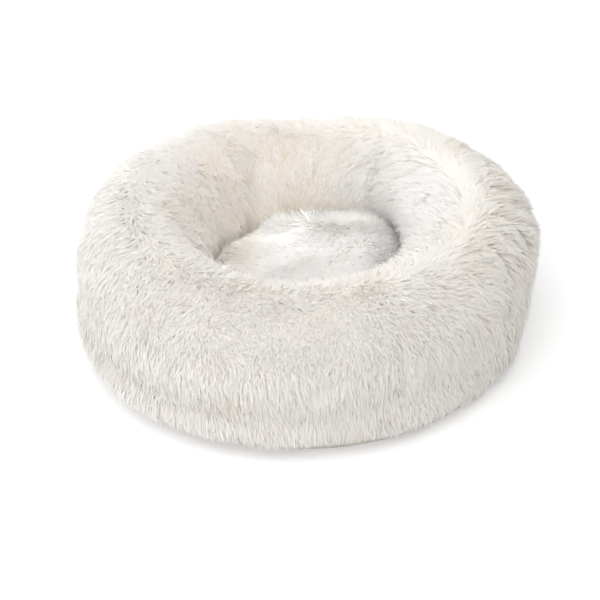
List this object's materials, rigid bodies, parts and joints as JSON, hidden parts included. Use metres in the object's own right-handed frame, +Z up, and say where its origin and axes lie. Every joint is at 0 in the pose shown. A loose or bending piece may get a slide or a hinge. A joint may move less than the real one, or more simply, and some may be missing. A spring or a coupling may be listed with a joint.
{
  "type": "cat bed",
  "caption": "Round plush pet bed: a fur covered stuffed roll round a deep nest, with a loose seat cushion, a stitched base and a zip at the back.",
  "frame": {"origin": "centre of the flat underside", "axes": "+Z up, -Y towards the front of the bed, the zip at +Y"},
  "size_m": [0.6005, 0.6128, 0.1907],
  "materials": {
    "outer_fur": "ivory long pile plush, soft and matt, combed down on the wall",
    "seat_fur": "ivory long pile plush, fluffed up",
    "base_cloth": "beige woven non-slip cloth with small grip dots",
    "liner_cloth": "white thin non-woven cloth",
    "fibre_fill": "loose white polyester fibre",
    "base_felt": "pressed fibre pad",
    "zip_tape": "ivory woven tape",
    "zip_coil": "ivory nylon coil",
    "zip_metal": "satin nickel plated zinc",
    "label_satin": "plain white satin ribbon, blank"
  },
  "bodies": {
    "bed": {"roll_panel_right": "outer_fur", "roll_panel_back": "outer_fur", "roll_panel_left": "outer_fur", "roll_panel_front": "outer_fur", "wall_panel_right": "outer_fur", "wall_panel_back": "outer_fur", "wall_panel_left": "outer_fur", "wall_panel_front": "outer_fur", "ring_liner": "liner_cloth", "ring_filling": "fibre_fill", "nest_floor": "liner_cloth", "base_panel": "base_cloth", "base_pad": "base_felt", "base_border": "base_cloth", "zip_tape_upper": "zip_tape", "zip_tape_lower": "zip_tape", "zip_coil_upper": "zip_coil", "zip_coil_lower": "zip_coil", "zip_stop_start": "zip_metal", "zip_stop_end": "zip_metal", "blank_label": "label_satin"},
    "seat_cushion": {"seat_top_cover": "seat_fur", "seat_under_cover": "liner_cloth", "seat_filling": "fibre_fill"},
    "slider": {"zip_slider": "zip_metal"},
    "pull_tab": {"zip_pull_tab": "zip_metal"}
  },
  "joints": [
    {"name": "seat_lift", "type": "slide", "parent": "bed", "child": "seat_cushion", "axis": [0, 0, 1], "range_m": [0, 0.2]},
    {"name": "zip_travel", "type": "hinge", "parent": "bed", "child": "slider", "pos_m": [0, 0, 0.00875], "axis": [0, 0, 1], "range_deg": [0, 114]},
    {"name": "tab_swing", "type": "hinge", "parent": "slider", "child": "pull_tab", "pos_m": [0.237, 0.15274, 0.00875], "axis": [0, 0, -1], "range_deg": [0, 170]}
  ]
}
